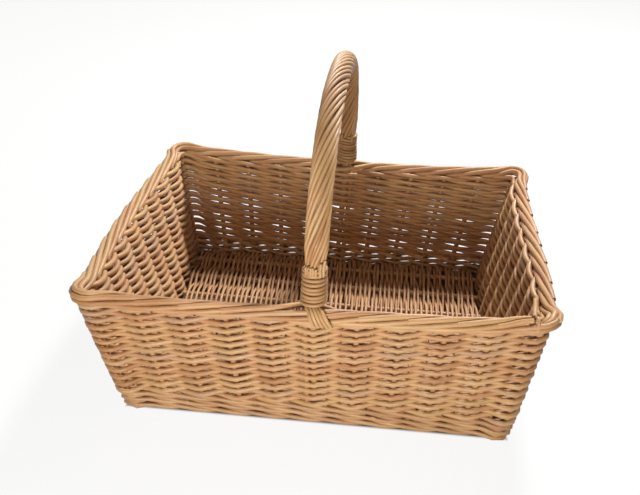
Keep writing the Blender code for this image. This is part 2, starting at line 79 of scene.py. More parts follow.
# How far round an outline its corners lie
def cornerPlaces(halfX, halfY):
    front = halfX - form["cornerRadius"] + turn / 2
    side = 2 * (halfY - form["cornerRadius"]) + turn
    return (0.0, front, front + side, 3 * front + side, 3 * front + 2 * side, 4 * front + 2 * side)


rimPlaces = cornerPlaces(rimX, rimY)
longSpacing = 2 * rimPlaces[1] / form["longSpaces"]
shortSpacing = (rimPlaces[2] - rimPlaces[1]) / form["shortSpaces"]


def spacingAt(station):
    station = station % stakes
    onSide = corners[0] <= station < corners[1] or corners[2] <= station < corners[3]
    return shortSpacing if onSide else longSpacing


# From one value to another
def between(first, last, share):
    return first + (last - first) * share


# Even shares from 0 to 1
def evenShares(steps):
    return [k / steps for k in range(steps + 1)]


# Smoothly from 1 at nought down to 0 at one and beyond
def fading(share):
    return math.cos(math.pi / 2 * min(1.0, share)) ** 2


# Point and outward normal on a rectangle whose rounded corners are drawn out a little
def outline(halfX, halfY, station):
    radius = form["cornerRadius"]
    runX = halfX - radius
    runY = halfY - radius
    places = cornerPlaces(halfX, halfY)
    marks = (0.0,) + corners + (stakes,)
    station = station % stakes
    k = max(j for j in range(5) if marks[j] <= station)
    share = (station - marks[k]) / (marks[k + 1] - marks[k])
    along = between(places[k], places[k + 1], share)
    nearest = min(abs(along - place) for place in places[1:5])
    push = form["cornerPush"] * fading(nearest / form["cornerReach"])
    runs = (runX, 2 * runY, 2 * runX, 2 * runY, runX)
    starts = ((0, -halfY), (-halfX, -runY), (-runX, halfY), (halfX, runY), (runX, -halfY))
    heading = math.pi
    for run, start in zip(runs, starts):
        direction = Vector((math.cos(heading), math.sin(heading)))
        outward = Vector((-direction.y, direction.x))
        if along <= run:
            return Vector(start) + direction * along + outward * push, outward
        along -= run
        if along <= turn:
            bend = along / radius
            centre = Vector(start) + direction * run - outward * radius
            normal = outward * math.cos(bend) + direction * math.sin(bend)
            return centre + normal * (radius + push), normal
        along -= turn
        heading -= math.pi / 2
    return Vector((0, -halfY)), Vector((0, -1))


# The same at the rim, where both short sides are bowed outwards
def rimOutline(station):
    point, normal = outline(rimX, rimY, station)
    depth = max(-1.0, min(1.0, point.y / rimY))
    toFront = (1 - depth) / 2
    if point.x < 0:
        bow = -form["leftBow"] * (1 - depth ** 2)
        bow -= form["leftDraw"] * toFront * (point.x / rimX) ** 2
    else:
        bow = form["rightBow"] * toFront ** form["frontDraw"] * (1 - depth ** 2)
    return point + Vector((bow, 0)), normal


def skewed(x, y, z):
    share = min(z / form["borderTop"], 1.0)
    return Vector((x + form["rimSkew"] * share * y / form["rimWidth"], y, z))


def borderHeight(station):
    point, _ = rimOutline(station)
    nearness = min(1.0, abs(point.x / rimX)) * min(1.0, abs(point.y / rimY))
    lift = form["cornerLift"]
    if point.y < 0:
        lift += form["frontLifts"][1 if point.x > 0 else 0]
    # the front of the rim slopes down to the left, and climbs late to its corners
    toFront = (1 - max(-1.0, min(1.0, point.y / rimY))) / 2
    tilt = form["frontTilt"] * toFront
    lift -= tilt * math.copysign(rimX, point.x)
    return (form["borderTop"] - borderHalf + form["raised"] + tilt * point.x
            + lift * nearness ** (form["liftPower"] + form["frontPower"] * toFront))


def wallPoint(station, z, out=0.0):
    low, lowNormal = outline(baseX, baseY, station)
    high, highNormal = rimOutline(station)
    share = z / borderHeight(station)
    normal = lowNormal.lerp(highNormal, share).normalized()
    nearest = min(abs(station % stakes - corner) for corner in corners[:2])
    swell = fading(nearest / form["swellReach"]) * min(1.0, share / form["swellRise"])
    out += form["leftSwell"] * swell
    plan = low.lerp(high, share) + normal * out
    return skewed(plan.x, plan.y, z)


def rimPoint(station, out, up):
    plan, normal = rimOutline(station)
    plan = plan + normal * out
    return skewed(plan.x, plan.y, borderHeight(station) + up)


leastStep = 0.02  # least part of a space between two points of a rod
cornerStep = 0.25 * turn / shortSpacing  # between two points of a rod at a corner
cornerPoints = 3  # so many close points to either side of a corner


# Even steps from one station to another, with closer ones round each corner
def stepsBetween(first, last, perSpace):
    count = max(1, round((last - first) * perSpace))
    marks = [first + (last - first) * k / count for k in range(count + 1)]
    for lap in range(math.floor(first / stakes) - 1, math.ceil(last / stakes) + 1):
        for corner in corners:
            marks += [corner + lap * stakes + cornerStep * k
                      for k in range(-cornerPoints, cornerPoints + 1)]
    kept = []
    for mark in sorted(marks):
        if first <= mark <= last and (not kept or mark - kept[-1] > leastStep):
            kept.append(mark)
    return kept


# The handle's arch stands on the border and rises to the middle of the wound handle
archFootZ = form["borderTop"] - borderHalf
archRise = form["handleTop"] - form["handleD"] / 2 - archFootZ
archSteps = 400
archReach = 3  # steps to either side that give the arch's direction


def archPoint(angle):
    across = abs(math.cos(angle)) ** (2 / form["archPower"])
    rise = abs(math.sin(angle)) ** (2 / form["archPower"])
    y = -math.copysign(rimY * across, math.cos(angle))
    return skewed(0.0, y, archFootZ + archRise * rise)


arch = [archPoint(math.pi * k / archSteps) for k in range(archSteps + 1)]
archRun = [0.0]
for before, after in zip(arch, arch[1:]):
    archRun.append(archRun[-1] + (after - before).length)
archLength = archRun[-1]


# Point of the bow, with the two directions across it: away from the middle, and aside
def alongArch(distance):
    distance = min(max(distance, 0.0), archLength)
    k = min(int(np.searchsorted(archRun, distance, side="right")) - 1, archSteps - 1)
    share = (distance - archRun[k]) / (archRun[k + 1] - archRun[k])
    point = arch[k].lerp(arch[k + 1], share)
    ahead = arch[min(k + 1 + archReach, archSteps)]
    direction = (ahead - arch[max(k - archReach, 0)]).normalized()
    away = -Vector((1.0, 0.0, 0.0)).cross(direction).normalized()
    return point, away, direction.cross(away).normalized()


# Gives each input its value or its link. A node stands for its own first output.
def giveInputs(tree, node, inputs):
    for key, value in inputs.items():
        if isinstance(value, bpy.types.Node):
            value = value.outputs[0]
        if isinstance(value, bpy.types.NodeSocket):
            tree.links.new(value, node.inputs[key])
        else:
            node.inputs[key].default_value = value


# Adds one node with its inputs and settings
def addNode(tree, kind, inputs=None, **settings):
    node = tree.nodes.new(kind)
    for key, value in settings.items():
        setattr(node, key, value)
    giveInputs(tree, node, inputs or {})
    return node


# Puts a new object into the scene
def addObject(name, data):
    item = bpy.data.objects.new(name, data)
    bpy.context.scene.collection.objects.link(item)
    return item


# Linear colour of an sRGB hex value
def hexColour(text):
    parts = [int(text[k:k + 2], 16) / 255 for k in (1, 3, 5)]
    linear = [p / 12.92 if p <= 0.04045 else ((p + 0.055) / 1.055) ** 2.4 for p in parts]
    return tuple(linear) + (1.0,)


# A new material, with its tree and its shader
def newMaterial(name):
    material = bpy.data.materials.new(name)
    material.use_nodes = True
    return material, material.node_tree, material.node_tree.nodes["Principled BSDF"]


# Peeled willow rods: streaks along the rod, a tone of its own for each, small scars
def willowMaterial(name, look):
    material, tree, shader = newMaterial(name)
    shade, run, section, cut = [addNode(tree, "ShaderNodeAttribute", attribute_name=key)
                                for key in ("rodShade", "rodRun", "rodSection", "rodCut")]

    # streaks: so many across each millimetre of girth, drawn out along the rod
    across = addNode(tree, "ShaderNodeVectorMath", {
        0: section.outputs["Vector"], "Scale": look["streaks"]}, operation="SCALE")
    lengthwise = addNode(tree, "ShaderNodeMath", {
        0: run.outputs["Fac"], 1: 1 / look["streakLength"],
        2: shade.outputs["Fac"]}, operation="MULTIPLY_ADD")
    apart = addNode(tree, "ShaderNodeMath", {
        0: shade.outputs["Fac"], 1: look["apart"]}, operation="MULTIPLY")
    climb = addNode(tree, "ShaderNodeMath", {0: lengthwise, 1: apart}, operation="ADD")
    lift = addNode(tree, "ShaderNodeCombineXYZ", {"Z": climb})
    place = addNode(tree, "ShaderNodeVectorMath", {0: across, 1: lift}, operation="ADD")
    grain = addNode(tree, "ShaderNodeTexNoise", {
        "Vector": place, "Scale": 1.0, "Detail": look["grainDetail"],
        "Roughness": look["grainRoughness"]})

    # slow change along the rod
    slowRun = addNode(tree, "ShaderNodeMath", {
        0: run.outputs["Fac"], 1: 1 / look["toneLength"], 2: apart}, operation="MULTIPLY_ADD")
    slow = addNode(tree, "ShaderNodeTexNoise", {
        "W": slowRun, "Scale": 1.0, "Detail": 1.0}, noise_dimensions="1D")

    # each rod takes its tone from the ramp
    ramp = addNode(tree, "ShaderNodeValToRGB", {"Fac": shade.outputs["Fac"]})
    elements = ramp.color_ramp.elements
    while len(elements) < len(look["tones"]):
        elements.new(0.5)
    for element, (position, text) in zip(elements, look["tones"]):
        element.position = position
        element.color = hexColour(text)

    # leaf scars: a small dark fleck every few centimetres
    scarRate = (look["scarWidth"], look["scarWidth"], look["streakLength"] / look["scarSpacing"])
    scarPlace = addNode(tree, "ShaderNodeVectorMath", {0: place, 1: scarRate}, operation="MULTIPLY")
    scars = addNode(tree, "ShaderNodeTexVoronoi", {"Vector": scarPlace, "Scale": 1.0})

    # over the rod's own tone lie streaks, paler stretches and scars, and cut ends show pale wood
    tone = ramp.outputs["Color"]
    for layer, source in (("streak", grain.outputs["Fac"]), ("pale", slow.outputs["Fac"]),
                          ("scar", scars.outputs["Distance"])):
        first, last = look[layer + "Range"]
        weight = addNode(tree, "ShaderNodeMapRange", {
            "Value": source, "From Min": first, "From Max": last, "To Max": look[layer + "Depth"]})
        tone = addNode(tree, "ShaderNodeMix", {
            0: weight, 6: tone, 7: hexColour(look[layer + "Tone"])}, data_type="RGBA").outputs[2]
    ended = addNode(tree, "ShaderNodeMix", {
        0: cut.outputs["Fac"], 6: tone, 7: hexColour(look["cutTone"])}, data_type="RGBA")
    deepened = addNode(tree, "ShaderNodeMix", {
        0: 1.0, 6: ended.outputs[2],
        7: hexColour(look["deepen"])}, data_type="RGBA", blend_type="MULTIPLY")

    # the grain also roughens it, in gloss and in height
    gloss = addNode(tree, "ShaderNodeMapRange", {
        "Value": grain.outputs["Fac"], "From Min": look["glossRange"][0],
        "From Max": look["glossRange"][1], "To Min": look["roughness"][0],
        "To Max": look["roughness"][1]})
    bump = addNode(tree, "ShaderNodeBump", {
        "Height": grain.outputs["Fac"], "Strength": look["bump"], "Distance": look["bumpDepth"]})
    giveInputs(tree, shader, {
        "Base Color": deepened.outputs[2], "Roughness": gloss, "Normal": bump, "IOR": look["ior"],
        "Sheen Weight": look["sheen"]})
    return material


# Buff willow is boiled in its bark and then peeled, which leaves a warm tan, satin surface
# with fine streaks along the rod. The streaks are drawn coarser than real grain, to show.
willowLook = {
    "apart": 61.0,  # how far one rod's pattern lies from the next
    "streaks": 3.0, "streakLength": 9 * mm, "streakRange": (0.42, 0.72), "streakDepth": 0.42,
    "streakTone": "#B5834F", "grainDetail": 4.0, "grainRoughness": 0.6,
    "toneLength": 70 * mm, "paleRange": (0.35, 0.75), "paleDepth": 0.5, "paleTone": "#EBC597",
    "scarSpacing": 55 * mm, "scarWidth": 0.55, "scarRange": (0.11, 0.05), "scarDepth": 0.7,
    "scarTone": "#5E3A1C", "cutTone": "#D9B78A", "deepen": "#DAD1C3",
    "glossRange": (0.3, 0.7), "roughness": (0.43, 0.59), "bump": 0.35, "bumpDepth": 0.25 * mm,
    "ior": 1.45, "sheen": 0.06,
    "tones": ((0.0, "#C08D5F"), (0.18, "#CF9C70"), (0.36, "#D9A87A"), (0.52, "#DDAF7C"),
              (0.68, "#E0B88A"), (0.84, "#D8B47C"), (1.0, "#CFA88A")),
}
handleLook = dict(willowLook, streakDepth=0.5, paleTone="#F0D2A2",
                  tones=((0.0, "#BE8A58"), (0.3, "#CF9F6C"), (0.6, "#DDB380"), (1.0, "#D2A574")))
baseLook = dict(willowLook, deepen="#E4DBCC",
                tones=((0.0, "#BE906A"), (0.3, "#CC9C74"), (0.6, "#D6A880"), (1.0, "#D8B08C")))
# The bottom wale's tones are darker than the wall rods': painted shade at the foot of the wall,
# which gets less light than the rim
waleShadedLook = dict(willowLook,
                tones=((0.0, "#B58353"), (0.3, "#C79768"), (0.65, "#D0A475"), (1.0, "#C29877")))
lappingLook = dict(handleLook, tones=((0.0, "#B58555"), (0.5, "#C29463"), (1.0, "#CDA06E")))
finishes = {
    "rod": willowMaterial("buffWillowRod", willowLook),
    "handle": willowMaterial("buffWillowHandleRod", handleLook),
    "base": willowMaterial("buffWillowBaseRod", baseLook),
    "lapping": willowMaterial("buffWillowLappingRod", lappingLook),
    "wale": willowMaterial("buffWillowWaleRodPaintedShade", waleShadedLook),
}
print("materials made")


# "apart" is how far one rod's wander lies from the next, "capAngle" what shades a cap flat, and
# "capStep" how far into its first step a rod keeps the pale tone of its cut end. "lay" holds
# what the lay of a piece leaves out.
rod = {"apart": 40.0, "capAngle": 1.0, "capStep": 0.06,
       "lay": {"sides": 8, "wander": 0.0, "wanderLength": 30 * mm, "swelling": 0.0}}


# Geometry Nodes that turn chains of edges into round rods with capped ends
def rodTree():
    tree = bpy.data.node_groups.new("rodsAlongPaths", "GeometryNodeTree")
    face = tree.interface
    for name, kind in (("Geometry", "Geometry"), ("sides", "Int"), ("wander", "Float"),
                       ("wanderLength", "Float"), ("swelling", "Float"), ("seed", "Float"),
                       ("finish", "Material")):
        face.new_socket(name, in_out="INPUT", socket_type="NodeSocket" + kind)
    face.new_socket("Geometry", in_out="OUTPUT", socket_type="NodeSocketGeometry")
    given = addNode(tree, "NodeGroupInput").outputs
    chains = addNode(tree, "GeometryNodeMeshToCurve", {"Mesh": given["Geometry"]})

    # each rod wanders a little, by a noise that its own tone sets apart
    shade = addNode(tree, "GeometryNodeInputNamedAttribute", {"Name": "rodShade"})
    part = addNode(tree, "ShaderNodeMath", {
        0: shade.outputs["Attribute"], 1: rod["apart"], 2: given["seed"]}, operation="MULTIPLY_ADD")
    rate = addNode(tree, "ShaderNodeMath", {0: 1.0, 1: given["wanderLength"]}, operation="DIVIDE")
    noise = addNode(tree, "ShaderNodeTexNoise", {
        "W": part, "Scale": rate, "Detail": 1.0}, noise_dimensions="4D")
    centred = addNode(tree, "ShaderNodeVectorMath", {
        0: noise.outputs["Color"], 1: (0.5, 0.5, 0.5)}, operation="SUBTRACT")
    shift = addNode(tree, "ShaderNodeVectorMath", {
        0: centred, "Scale": given["wander"]}, operation="SCALE")
    laid = addNode(tree, "GeometryNodeSetPosition", {"Geometry": chains, "Offset": shift})

    # its girth swells and shrinks with the same noise
    girth = addNode(tree, "GeometryNodeInputNamedAttribute", {"Name": "rodRadius"})
    swell = addNode(tree, "ShaderNodeMath", {
        0: noise.outputs["Fac"], 1: given["swelling"], 2: 1.0}, operation="MULTIPLY_ADD")
    evened = addNode(tree, "ShaderNodeMath", {
        0: given["swelling"], 1: -0.5, 2: swell}, operation="MULTIPLY_ADD")
    radius = addNode(tree, "ShaderNodeMath", {
        0: girth.outputs["Attribute"], 1: evened}, operation="MULTIPLY")

    # a round section is swept along it, smooth along the rod and sharp round its caps
    circle = addNode(tree, "GeometryNodeCurvePrimitiveCircle", {
        "Resolution": given["sides"], "Radius": 1.0})
    spot = addNode(tree, "GeometryNodeInputPosition")
    ring = addNode(tree, "GeometryNodeStoreNamedAttribute", {
        "Geometry": circle, "Value": spot, "Name": "rodSection"}, data_type="FLOAT_VECTOR")
    swept = addNode(tree, "GeometryNodeCurveToMesh", {
        "Curve": laid, "Profile Curve": ring, "Scale": radius, "Fill Caps": True})
    smooth = addNode(tree, "GeometryNodeSetShadeSmooth", {"Geometry": swept, "Shade Smooth": True})
    angle = addNode(tree, "GeometryNodeInputMeshEdgeAngle")
    sharp = addNode(tree, "ShaderNodeMath", {
        0: angle, 1: rod["capAngle"]}, operation="GREATER_THAN")
    edged = addNode(tree, "GeometryNodeSetShadeSmooth", {
        "Geometry": smooth, "Selection": sharp, "Shade Smooth": False}, domain="EDGE")
    whole = addNode(tree, "GeometryNodeRealizeInstances", {"Geometry": edged})
    finished = addNode(tree, "GeometryNodeSetMaterial", {
        "Geometry": whole, "Material": given["finish"]})
    addNode(tree, "NodeGroupOutput", {"Geometry": finished})
    return tree


rodsAlongPaths = rodTree()


# One mesh of round rods, each given as its points, one radius or a list of them and its shade.
# "lay" says how round and how uneven they are.
def layRods(name, rods, finish, lay):
    rods = list(rods)
    points = []
    edges = []
    values = {"rodRadius": [], "rodShade": [], "rodRun": [], "rodCut": []}
    for path, radii, shade in rods:
        if isinstance(radii, float):
            radii = [radii] * len(path)
        # a point close before each end keeps the pale tone of the cut to its face
        start = path[0].lerp(path[1], rod["capStep"])
        end = path[-1].lerp(path[-2], rod["capStep"])
        path = [path[0], start] + path[1:-1] + [end, path[-1]]
        radii = [radii[0], radii[0]] + list(radii[1:-1]) + [radii[-1], radii[-1]]
        first = len(points)
        run = 0.0
        for k, point in enumerate(path):
            if k:
                run += (point - path[k - 1]).length
                edges.append((first + k - 1, first + k))
            points.append(tuple(point))
            values["rodRun"].append(run)
        values["rodRadius"] += radii
        values["rodShade"] += [shade] * len(path)
        values["rodCut"] += [1.0] + [0.0] * (len(path) - 2) + [1.0]
    chains = bpy.data.meshes.new(name + "Paths")
    chains.from_pydata(points, edges, [])
    for key, numbers in values.items():
        chains.attributes.new(key, "FLOAT", "POINT").data.foreach_set("value", numbers)
    source = addObject(name + "Paths", chains)
    modifier = source.modifiers.new("rods", "NODES")
    modifier.node_group = rodsAlongPaths
    given = dict(rod["lay"], finish=finishes[finish], **lay)
    for item in rodsAlongPaths.interface.items_tree:
        if item.item_type == "SOCKET" and item.in_out == "INPUT" and item.name in given:
            modifier[item.identifier] = given[item.name]
    graph = bpy.context.evaluated_depsgraph_get()
    mesh = bpy.data.meshes.new_from_object(source.evaluated_get(graph))
    bpy.data.objects.remove(source)
    mesh.name = name
    piece = addObject(name, mesh)
    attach(piece, "root")
    print(name, "rods:", len(rods), "triangles:", sum(len(p.vertices) - 2 for p in mesh.polygons))
    return piece


justShort = 1e-9  # keeps the last point of a curve on its last lap


# Points at even steps on a smooth curve through the stations
def smoothPath(stations, count):
    laps = len(stations) - 1
    path = []
    for k in range(count + 1):
        place = min(k * laps / count, laps - justShort)
        i = int(place)
        t = place - i
        a = stations[max(i - 1, 0)]
        b = stations[i]
        c = stations[i + 1]
        d = stations[min(i + 2, laps)]
        path.append(0.5 * (2 * b + (c - a) * t + (2 * a - 5 * b + 4 * c - d) * t * t
                           + (3 * b - a - 3 * c + d) * t ** 3))
    return path


# Stakes and the border that they are bent into
border = {
    "seed": 11, "stepsPerSpacing": 8, "buttD": 6.5 * mm, "endD": 5.3 * mm, "taper": 0.6,
    "footZ": 1.8 * mm, "waistSteps": 4, "bendShares": (0.12, 0.35, 0.65), "bendPower": 1.6,
    "cutAfter": 2.9, "cutSpread": 0.25, "tuckFrom": 2.3, "tuckLength": 1.1, "tuckDepth": 3.4 * mm,
    "travel": 4.5, "lateDip": math.radians(20), "gather": 0.86,
    "tones": (0.05, 0.95), "unevenGirth": 0.05,
    "lay": {"sides": 10, "wander": 1.1 * mm, "wanderLength": 45 * mm, "swelling": 0.1, "seed": 3.0},
}

# The rods beside a foot of the handle are pushed aside, to pass it
bowRoom = form["bowFootD"] / 2 + form["stakeD"] / 2 + form["pass"]
bowBend = form["stakeBend"] / longSpacing
outerPush = max(0.0, bowRoom + form["pass"] - form["borderOut"]
                - borderR * math.cos(startAngle - strandStep * (2 - bowBend)))
innerPush = (bowRoom + form["pass"] + form["borderOut"]
             + borderR * math.cos(startAngle - strandStep * (1 - bowBend)))


# A point of the border rod of a stake, "run" spaces on from the stake. "lag" is how far the
# stake itself stands aside, and "drawn" how far the rod is tucked in.
def laidPoint(index, lag, run, drawn=0.0):
    bend = form["stakeBend"] / spacingAt(index + lag)
    if run < 1.0 and lag > 0:
        share = max(0.0, run - lag - bend) / (1 - lag - bend)
        angle = startAngle + border["lateDip"] * (1 - share) - strandStep * (1 - bend) * share
    else:
        angle = startAngle - strandStep * max(0.0, run - bend)
    radius = borderR * border["gather"] - drawn
    out = form["borderOut"] + radius * math.cos(angle)
    for bow in (0, back, stakes):
        passed = bow - index
        if 1 <= passed <= form["strands"] - 1:
            out += fading(abs(run - passed)) * (-innerPush if passed == 1 else outerPush)
    return rimPoint(index + run, out, radius * math.sin(angle))


# The border was closed at its front right corner, where rod ends lie crossed: two laid rods are
# parted, a thin rod binds the others, and a stray one comes in from the side
seam = {
    "from": corners[3] - 0.1, "rods": {31: 0.22, 32: 0.26},
    "diveStep": 0.09, "dive": (3 * mm, 8 * mm), "startGap": 0.05, "raised": 1.4 * mm,
    "raisedLength": 0.6,
    "band": 0.14, "bandD": 3.8 * mm, "bandSunk": 2.6 * mm, "bandDrawn": 2.6 * mm, "bandSlant": 0.04,
    "bandAngles": (118, -72), "bandSteps": 8, "bandTone": 0.6,
    "strayD": 4.4 * mm, "strayFrom": (-1.1, -7 * mm, 2 * mm), "strayTo": (0.2, 0.0, 6.5 * mm),
    "strayArch": 3 * mm, "straySteps": 5, "strayTone": 0.75,
}


# Parts a laid rod at the closing: one dives at the corner, the other starts with a cut end
def partedAtSeam(index, lag, marks):
    before = [laidPoint(index, lag, mark - index) for mark in marks if mark <= seam["from"]]
    for k, depth in enumerate(seam["dive"]):
        place = seam["from"] + seam["diveStep"] * (k + 1)
        before.append(laidPoint(index, lag, place - index) - Vector((0.0, 0.0, depth)))
    start = corners[3] + seam["rods"][index]
    after = []
    for mark in [start] + [mark for mark in marks if mark > start + seam["startGap"]]:
        lift = seam["raised"] * max(0.0, 1 - (mark - start) / seam["raisedLength"])
        after.append(laidPoint(index, lag, mark - index) + Vector((0.0, 0.0, lift)))
    return before, after


def closingRods():
    reach = borderR * border["gather"] + form["stakeD"] / 2 + seam["bandD"] / 2 - seam["bandSunk"]
    band = []
    for share in evenShares(seam["bandSteps"]):
        angle = math.radians(between(*seam["bandAngles"], share))
        band.append(rimPoint(corners[3] + seam["band"] - seam["bandSlant"] * share,
                             form["borderOut"] + (reach - seam["bandDrawn"]) * math.cos(angle),
                             reach * math.sin(angle)))
    start, end = [rimPoint(corners[3] + run, out, up)
                  for run, out, up in (seam["strayFrom"], seam["strayTo"])]
    stray = []
    for share in evenShares(seam["straySteps"]):
        arch = Vector((0, 0, seam["strayArch"] * math.sin(math.pi * share)))
        stray.append(start.lerp(end, share) + arch)
    yield band, seam["bandD"] / 2, seam["bandTone"]
    yield stray, seam["strayD"] / 2, seam["strayTone"]


def borderRods():
    dice = np.random.default_rng(border["seed"])
    lowUp = borderR * math.sin(startAngle)
    for index in range(stakes):
        lag = bowRoom / longSpacing if index in (0, back) else 0.0
        bend = form["stakeBend"] / spacingAt(index + lag)
        shade = between(*border["tones"], dice.random())
        size = 1 + border["unevenGirth"] * (dice.random() - 0.5)

        # up through the wall and over into the border
        waistZ = borderHeight(index + lag) + lowUp - form["stakeBend"]
        path = [wallPoint(index + lag, between(border["footZ"], waistZ, share))
                for share in evenShares(border["waistSteps"])]
        for share in border["bendShares"]:
            path.append(rimPoint(index + lag + bend * share ** border["bendPower"], 0.0,
                                 lowUp - form["stakeBend"] * (1 - share) ** border["bendPower"]))

        # along the rim to its cut end
        cutAt = border["cutAfter"] + border["cutSpread"] * (dice.random() - 0.5)
        first = border["buttD"] / 2 * size
        last = border["endD"] / 2 * size
        marks = stepsBetween(index + lag + bend, index + cutAt, border["stepsPerSpacing"])
        if index in seam["rods"]:
            before, after = partedAtSeam(index, lag, marks)
            path += before
            yield after, last, shade
        else:
            path += [laidPoint(index, lag, mark - index) for mark in marks]
        count = len(path)
        radii = [first + (last - first) * k / count * border["taper"] for k in range(count)]
        yield path, radii, shade

        # the part that runs on round the outside, tucked under the cut ends above it
        path = []
        for station in stepsBetween(index + border["tuckFrom"], index + border["travel"],
                                    border["stepsPerSpacing"]):
            run = station - index
            tucked = max(0.0, 1 - (run - border["tuckFrom"]) / border["tuckLength"])
            path.append(laidPoint(index, lag, run, border["tuckDepth"] * tucked))
        yield path, last, shade
    yield from closingRods()


stakePiece = layRods("stakesAndBorder", borderRods(), "rod", border["lay"])
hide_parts(*[n for n in nodes if n.startswith("stake_")])

# Side weave: every stake starts a rod, which climbs as it goes in front of one and behind the
# next, to the right. So each stake has its front strokes at the same heights.
weave = {
    "seed": 5, "strokes": 26, "stepsPerSpacing": 9, "buttD": 5.7 * mm, "tipD": 5.2 * mm,
    "unevenGirth": 0.08, "from": -0.8, "fromSpread": 0.3, "over": 0.35,
    "foot": 23.2 * mm, "least": 3 * mm, "intoBorder": 6.5 * mm,
    "dip": (1.4 * mm, 1.9 * mm), "frontDip": (0.9, 0.45), "frontFrom": 1.5, "frontEase": 3.0,
    "uneven": 0.4 * mm, "swing": 0.3 * mm, "pressed": 0.5 * mm, "bendSharpness": 0.96,
    "sag": 3.6 * mm, "sagHalf": 15 * mm, "sagReach": 60 * mm, "sagPower": 2.5,
    "shortSides": 1.16, "shortPressed": 1.5 * mm, "flatness": 0.75, "levelling": 1.2,
    "turning": 0.6, "topFrom": 0.8, "topGirth": 0.08,
    "lay": {"sides": 8, "wander": 0.7 * mm, "wanderLength": 25 * mm, "swelling": 0.12, "seed": 7.0},
}


# 1 on the short sides, where the weave is beaten flatter, 0 on the long ones
def flatShare(station):
    if spacingAt(station) == longSpacing:
        return 0.0
    return min(1.0, min(abs(station % stakes - corner) for corner in corners) / weave["turning"])


# How deep the V of the strokes is: full at the back, shallow at both ends of the front
def dipShare(station):
    fromFront = min(station % stakes, -station % stakes)
    ease = min(1.0, max(0.0, fromFront - weave["frontFrom"]) / weave["frontEase"])
    share = between(*weave["frontDip"], ease)
    if fromFront > stakes / 4:
        share = 1.0
    return share + (1 - weave["levelling"] - share) * flatShare(station)


# From 1 in front of a stake to -1 behind the next, almost straight between the bends
def waveBetween(run):
    sharp = weave["bendSharpness"]
    return math.asin(sharp * math.cos(math.pi * run)) / math.asin(sharp)


def sideRods():
    dice = np.random.default_rng(weave["seed"])
    strokes = weave["strokes"]
    uneven = dice.normal(0.0, weave["uneven"], (stakes, strokes + 3))
    swings = dice.normal(0.0, weave["swing"], (stakes, strokes + 3))
    taper = weave["tipD"] / weave["buttD"]
    for index in range(stakes):
        shade = dice.random()
        size = 1 + weave["unevenGirth"] * (dice.random() - 0.5)
        path = []
        radii = []
        first = weave["from"] - weave["fromSpread"] * dice.random()
        last = strokes + weave["over"]
        stations = stepsBetween(-(index + last), -(index + first), weave["stepsPerSpacing"])
        for station in stations[::-1]:
            run = -station - index

            # how high it has climbed: the rods get thinner towards the tip, and so do the rows
            share = (run + 0.5) / strokes
            height = (share - (1 - taper) * share * share / 2) / ((1 + taper) / 2)
            top = borderHeight(station) - borderHalf + weave["intoBorder"]
            z = between(weave["foot"], top, height)

            # each crossing of a stake lies a little off its row
            phase = waveBetween(run)
            level = max(0.0, min(run, strokes + 1.0))
            low = int(level)
            blend = (1 - math.cos(math.pi * (level - low))) / 2
            here = (index + low) % stakes
            there = (here + 1) % stakes
            drift, sway = [amounts[here][low] * (1 - blend) + amounts[there][low + 1] * blend
                           for amounts in (uneven, swings)]
            dip = between(*weave["dip"], min(1.0, max(0.0, height)))
            flat = flatShare(station)
            z += drift - dip * dipShare(station) * phase
            point = wallPoint(station, z)
            if abs(point.x) < weave["sagReach"]:
                sag = weave["sag"] * max(0.0, height) ** weave["sagPower"]
                z -= sag * math.exp(-(point.x / weave["sagHalf"]) ** 2)

            topShare = max(0.0, height - weave["topFrom"]) / (1 - weave["topFrom"])
            diameter = weave["buttD"] * (1 - (1 - taper) * max(0.0, min(1.0, share))) * size
            diameter *= 1 + (weave["shortSides"] - 1) * flat + weave["topGirth"] * topShare
            pressed = between(weave["pressed"], weave["shortPressed"], flat)
            swing = form["stakeD"] / 2 + diameter / 2 - pressed + sway

            # on the short sides a rod lies flat over each stake and crosses between two
            even = math.cos(math.pi * run)
            flatter = math.copysign(abs(even) ** weave["flatness"], even)
            passing = between(phase, flatter, flat)
            path.append(wallPoint(station, max(z, weave["least"]), swing * passing))
            radii.append(diameter / 2)
        yield path, radii, shade


sidePiece = layRods("sideWeave", sideRods(), "rod", weave["lay"])
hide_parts("side_weave")

# Bottom wale: three rows. A stroke comes out behind one stake, passes two and goes in again.
# A stroke's marks say how far on it is in spaces, how far out in swings and how high in mm.
wale = {
    "seed": 9, "rows": 3, "rowHeight": 8 * mm, "rodD": 4.7 * mm, "steps": 26,
    "marks": ((-1.0, -1.0, 0.0), (-0.75, -0.75, 1.2), (-0.5, 0.1, 2.8), (0.0, 1.0, 2.7),
              (0.5, 1.12, 0.5), (1.0, 1.0, -2.1), (1.5, 0.15, -2.8), (1.75, -0.7, -1.6),
              (2.0, -1.0, 0.0)),
    "rowMiddle": 0.52, "uneven": 0.25 * mm, "ground": 0.25 * mm, "unevenGirth": 0.1,
    "tone": 0.2, "toneSpread": 0.7, "toneUneven": 0.1,
    "lay": {"wander": 0.3 * mm, "swelling": 0.05, "seed": 2.0},
}


def waleRods():
    dice = np.random.default_rng(wale["seed"])
    swing = form["stakeD"] / 2 + wale["rodD"] / 2
    for row in range(wale["rows"]):
        tones = [dice.random() for _ in range(3)]
        for stake in range(stakes):
            size = 1 + wale["unevenGirth"] * (dice.random() - 0.5)
            marks = []
            for run, out, up in wale["marks"]:
                z = wale["rowHeight"] * (row + wale["rowMiddle"]) + up * mm
                z = max(z + wale["uneven"] * dice.normal(), wale["rodD"] / 2 + wale["ground"])
                marks.append(Vector((-(stake + run), z, swing * out)))
            path = [wallPoint(m.x, m.y, m.z) for m in smoothPath(marks, wale["steps"])]
            tone = wale["tone"] + wale["toneSpread"] * tones[stake % 3]
            tone += wale["toneUneven"] * dice.random()
            yield path, wale["rodD"] / 2 * size, min(1.0, tone)


walePiece = layRods("bottomWale", waleRods(), "wale", wale["lay"])
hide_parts("bottom_wale")

